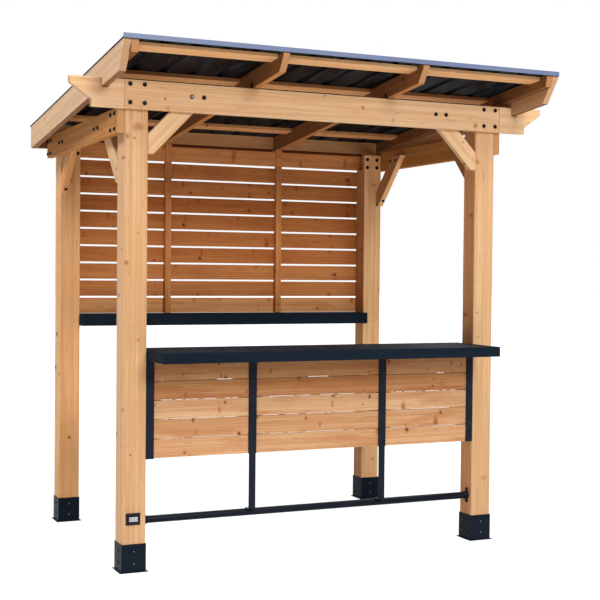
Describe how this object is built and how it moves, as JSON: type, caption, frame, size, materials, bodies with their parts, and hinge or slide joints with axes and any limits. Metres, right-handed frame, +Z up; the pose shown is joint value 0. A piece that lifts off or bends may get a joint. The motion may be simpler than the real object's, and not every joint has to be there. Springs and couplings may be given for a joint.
{
  "type": "outdoor bar",
  "caption": "Outdoor serving bar of cedar posts and beams with a sloping ribbed steel roof, steel counter, boarded front, foot rail and a slatted rear wall with a steel shelf",
  "frame": {"origin": "on the ground at the middle of the footprint of the whole bar", "axes": "+X to the right along the bar as seen from the customer side, +Y from the counter back to the rear wall, +Z up"},
  "size_m": [2.626, 1.9787, 2.5052],
  "materials": {
    "frame_cedar": "honey-stained planed cedar with fine grain and small knots",
    "wall_cedar": "honey-brown stained cedar boards, seen in shade",
    "panel_cedar": "stained cedar panel boards with knots",
    "frame_steel": "black powder coat, satin",
    "counter_steel": "black powder coat, fine texture, satin",
    "roof_steel": "black coated ribbed steel",
    "trim_steel": "dark coated steel edge trim with a bluish sheen",
    "outlet_plastic": "black moulded plastic"
  },
  "bodies": {
    "root": {"barge_board_left": "frame_cedar", "barge_board_right": "frame_cedar", "beam_tail_left": "frame_cedar", "beam_tail_right": "frame_cedar", "blocking_left": "wall_cedar", "blocking_middle": "wall_cedar", "blocking_right": "wall_cedar", "counter_top": "counter_steel", "edge_rafter_left": "frame_cedar", "edge_rafter_right": "frame_cedar", "edge_upright_left": "frame_steel", "edge_upright_right": "frame_steel", "foot_rail": "frame_steel", "front_beam": "frame_cedar", "front_brace_left": "frame_cedar", "front_brace_right": "frame_cedar", "front_trim": "trim_steel", "outlet_plate": "outlet_plastic", "panel_left": "panel_cedar", "panel_middle": "panel_cedar", "panel_right": "panel_cedar", "post_front_left": "frame_cedar", "post_front_right": "frame_cedar", "post_rear_left": "frame_cedar", "post_rear_right": "frame_cedar", "purlin_1_left": "wall_cedar", "purlin_1_middle": "wall_cedar", "purlin_1_right": "wall_cedar", "purlin_2_left": "wall_cedar", "purlin_2_middle": "wall_cedar", "purlin_2_right": "wall_cedar", "purlin_3_left": "wall_cedar", "purlin_3_middle": "wall_cedar", "purlin_3_right": "wall_cedar", "purlin_4_left": "wall_cedar", "purlin_4_middle": "wall_cedar", "purlin_4_right": "wall_cedar", "rafter_left": "frame_cedar", "rafter_right": "frame_cedar", "rear_beam": "wall_cedar", "rear_fascia": "wall_cedar", "rear_shelf": "counter_steel", "rear_wall": "wall_cedar", "roof_sheet": "roof_steel", "shoe_front_left": "frame_steel", "shoe_front_right": "frame_steel", "shoe_rear_left": "frame_steel", "shoe_rear_right": "frame_steel", "side_beam_left": "frame_cedar", "side_beam_right": "frame_cedar", "side_brace_front_left": "frame_cedar", "side_brace_front_right": "frame_cedar", "side_brace_rear_left": "frame_cedar", "side_brace_rear_right": "frame_cedar", "side_trim_left": "roof_steel", "side_trim_right": "roof_steel", "upright_left": "frame_steel", "upright_right": "frame_steel"}
  },
  "joints": []
}
